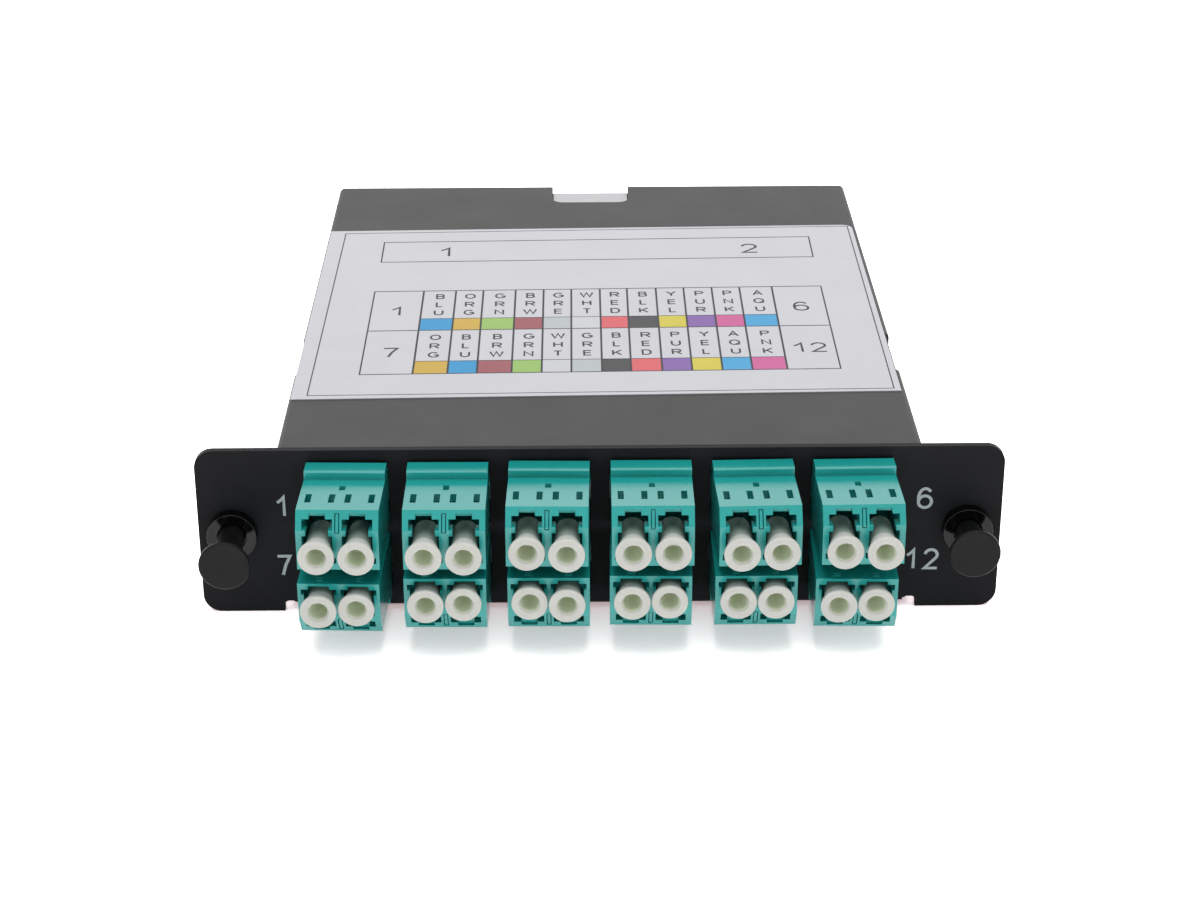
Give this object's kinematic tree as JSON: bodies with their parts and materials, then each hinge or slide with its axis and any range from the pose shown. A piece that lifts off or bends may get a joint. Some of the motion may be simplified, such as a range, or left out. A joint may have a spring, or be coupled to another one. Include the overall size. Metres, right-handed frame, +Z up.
{
  "type": "fibre cassette",
  "caption": "Flat sheet-metal fibre cassette with two rows of duplex adapters behind dust caps, push-pull latches on its front plate and a port chart on its cover.",
  "frame": {"origin": "under the middle of the cassette's whole length and width, at the height of the front plate's lower edge", "axes": "+Y from the front plate to the rear inputs, +Z up through the cover, +X to the right as seen from the front"},
  "size_m": [0.13, 0.1662, 0.029],
  "materials": {
    "black_powder_coat": "satin black powder coat",
    "grey_powder_coat": "fine-textured dark grey powder coat",
    "label_paper": "matt printed label",
    "seal_paper": "matt white label",
    "black_nylon": "satin nylon",
    "black_plastic": "satin",
    "aqua_plastic": "satin aqua moulding",
    "aqua_jacket": "soft cable jacket",
    "cap_plastic": "translucent off-white"
  },
  "bodies": {
    "housing": {"base_tray": "black_powder_coat", "lc_adapter_01": "aqua_plastic", "lc_adapter_02": "aqua_plastic", "lc_adapter_03": "aqua_plastic", "lc_adapter_04": "aqua_plastic", "lc_adapter_05": "aqua_plastic", "lc_adapter_06": "aqua_plastic", "lc_adapter_07": "aqua_plastic", "lc_adapter_08": "aqua_plastic", "lc_adapter_09": "aqua_plastic", "lc_adapter_10": "aqua_plastic", "lc_adapter_11": "aqua_plastic", "lc_adapter_12": "aqua_plastic", "latch_grommet_left": "black_nylon", "latch_grommet_right": "black_nylon", "mpo_adapter_1": "black_plastic", "mpo_plug_1": "aqua_plastic", "mpo_adapter_2": "black_plastic", "mpo_plug_2": "aqua_plastic", "lc_plugs_upper_row": "aqua_plastic", "lc_plugs_lower_row": "aqua_plastic", "fibre_fan_1": "aqua_jacket", "fibre_fan_2": "aqua_jacket", "fanout_stand": "black_plastic", "cover": "grey_powder_coat", "port_label": "label_paper", "seal_sticker": "seal_paper"},
    "dust_cap_01": {"dust_cap_01": "cap_plastic"},
    "dust_cap_02": {"dust_cap_02": "cap_plastic"},
    "dust_cap_03": {"dust_cap_03": "cap_plastic"},
    "dust_cap_04": {"dust_cap_04": "cap_plastic"},
    "dust_cap_05": {"dust_cap_05": "cap_plastic"},
    "dust_cap_06": {"dust_cap_06": "cap_plastic"},
    "dust_cap_07": {"dust_cap_07": "cap_plastic"},
    "dust_cap_08": {"dust_cap_08": "cap_plastic"},
    "dust_cap_09": {"dust_cap_09": "cap_plastic"},
    "dust_cap_10": {"dust_cap_10": "cap_plastic"},
    "dust_cap_11": {"dust_cap_11": "cap_plastic"},
    "dust_cap_12": {"dust_cap_12": "cap_plastic"},
    "dust_cap_13": {"dust_cap_13": "cap_plastic"},
    "dust_cap_14": {"dust_cap_14": "cap_plastic"},
    "dust_cap_15": {"dust_cap_15": "cap_plastic"},
    "dust_cap_16": {"dust_cap_16": "cap_plastic"},
    "dust_cap_17": {"dust_cap_17": "cap_plastic"},
    "dust_cap_18": {"dust_cap_18": "cap_plastic"},
    "dust_cap_19": {"dust_cap_19": "cap_plastic"},
    "dust_cap_20": {"dust_cap_20": "cap_plastic"},
    "dust_cap_21": {"dust_cap_21": "cap_plastic"},
    "dust_cap_22": {"dust_cap_22": "cap_plastic"},
    "dust_cap_23": {"dust_cap_23": "cap_plastic"},
    "dust_cap_24": {"dust_cap_24": "cap_plastic"},
    "latch_plunger_left": {"latch_plunger_left": "black_nylon"},
    "latch_plunger_right": {"latch_plunger_right": "black_nylon"},
    "mpo_dust_cap_1": {"mpo_dust_cap_1": "cap_plastic"},
    "mpo_dust_cap_2": {"mpo_dust_cap_2": "cap_plastic"}
  },
  "joints": [
    {"name": "dust_cap_01_pull", "type": "slide", "parent": "housing", "child": "dust_cap_01", "axis": [-0.0305, -0.9995, -0.0086], "range_m": [0, 0.015]},
    {"name": "dust_cap_02_pull", "type": "slide", "parent": "housing", "child": "dust_cap_02", "axis": [-0.0305, -0.9995, -0.0086], "range_m": [0, 0.015]},
    {"name": "dust_cap_03_pull", "type": "slide", "parent": "housing", "child": "dust_cap_03", "axis": [-0.0101, -0.9998, -0.0159], "range_m": [0, 0.015]},
    {"name": "dust_cap_04_pull", "type": "slide", "parent": "housing", "child": "dust_cap_04", "axis": [-0.0101, -0.9998, -0.0159], "range_m": [0, 0.015]},
    {"name": "dust_cap_05_pull", "type": "slide", "parent": "housing", "child": "dust_cap_05", "axis": [-0.0229, -0.9997, 0.0101], "range_m": [0, 0.015]},
    {"name": "dust_cap_06_pull", "type": "slide", "parent": "housing", "child": "dust_cap_06", "axis": [-0.0229, -0.9997, 0.0101], "range_m": [0, 0.015]},
    {"name": "dust_cap_07_pull", "type": "slide", "parent": "housing", "child": "dust_cap_07", "axis": [-0.0045, -0.9999, 0.0091], "range_m": [0, 0.015]},
    {"name": "dust_cap_08_pull", "type": "slide", "parent": "housing", "child": "dust_cap_08", "axis": [-0.0045, -0.9999, 0.0091], "range_m": [0, 0.015]},
    {"name": "dust_cap_09_pull", "type": "slide", "parent": "housing", "child": "dust_cap_09", "axis": [0.0288, -0.9996, 0.0016], "range_m": [0, 0.015]},
    {"name": "dust_cap_10_pull", "type": "slide", "parent": "housing", "child": "dust_cap_10", "axis": [0.0288, -0.9996, 0.0016], "range_m": [0, 0.015]},
    {"name": "dust_cap_11_pull", "type": "slide", "parent": "housing", "child": "dust_cap_11", "axis": [0.0192, -0.9998, 0.007], "range_m": [0, 0.015]},
    {"name": "dust_cap_12_pull", "type": "slide", "parent": "housing", "child": "dust_cap_12", "axis": [0.0192, -0.9998, 0.007], "range_m": [0, 0.015]},
    {"name": "dust_cap_13_pull", "type": "slide", "parent": "housing", "child": "dust_cap_13", "axis": [-0.0411, -0.9984, -0.0387], "range_m": [0, 0.015]},
    {"name": "dust_cap_14_pull", "type": "slide", "parent": "housing", "child": "dust_cap_14", "axis": [-0.0411, -0.9984, -0.0387], "range_m": [0, 0.015]},
    {"name": "dust_cap_15_pull", "type": "slide", "parent": "housing", "child": "dust_cap_15", "axis": [-0.0148, -0.9999, 0.0017], "range_m": [0, 0.015]},
    {"name": "dust_cap_16_pull", "type": "slide", "parent": "housing", "child": "dust_cap_16", "axis": [-0.0148, -0.9999, 0.0017], "range_m": [0, 0.015]},
    {"name": "dust_cap_17_pull", "type": "slide", "parent": "housing", "child": "dust_cap_17", "axis": [-0.0127, -0.9999, 0.0017], "range_m": [0, 0.015]},
    {"name": "dust_cap_18_pull", "type": "slide", "parent": "housing", "child": "dust_cap_18", "axis": [-0.0127, -0.9999, 0.0017], "range_m": [0, 0.015]},
    {"name": "dust_cap_19_pull", "type": "slide", "parent": "housing", "child": "dust_cap_19", "axis": [-0.0225, -0.9997, 0.0133], "range_m": [0, 0.015]},
    {"name": "dust_cap_20_pull", "type": "slide", "parent": "housing", "child": "dust_cap_20", "axis": [-0.0225, -0.9997, 0.0133], "range_m": [0, 0.015]},
    {"name": "dust_cap_21_pull", "type": "slide", "parent": "housing", "child": "dust_cap_21", "axis": [-0.001, -1, 0.008], "range_m": [0, 0.015]},
    {"name": "dust_cap_22_pull", "type": "slide", "parent": "housing", "child": "dust_cap_22", "axis": [-0.001, -1, 0.008], "range_m": [0, 0.015]},
    {"name": "dust_cap_23_pull", "type": "slide", "parent": "housing", "child": "dust_cap_23", "axis": [-0.0269, -0.9992, -0.0281], "range_m": [0, 0.015]},
    {"name": "dust_cap_24_pull", "type": "slide", "parent": "housing", "child": "dust_cap_24", "axis": [-0.0269, -0.9992, -0.0281], "range_m": [0, 0.015]},
    {"name": "latch_left_push", "type": "slide", "parent": "housing", "child": "latch_plunger_left", "axis": [0, 1, 0], "range_m": [0, 0.0086]},
    {"name": "latch_right_push", "type": "slide", "parent": "housing", "child": "latch_plunger_right", "axis": [0, 1, 0], "range_m": [-0.0021, 0.0064]},
    {"name": "mpo_dust_cap_1_pull", "type": "slide", "parent": "housing", "child": "mpo_dust_cap_1", "axis": [0, 1, 0], "range_m": [0, 0.012]},
    {"name": "mpo_dust_cap_2_pull", "type": "slide", "parent": "housing", "child": "mpo_dust_cap_2", "axis": [0, 1, 0], "range_m": [0, 0.012]}
  ]
}
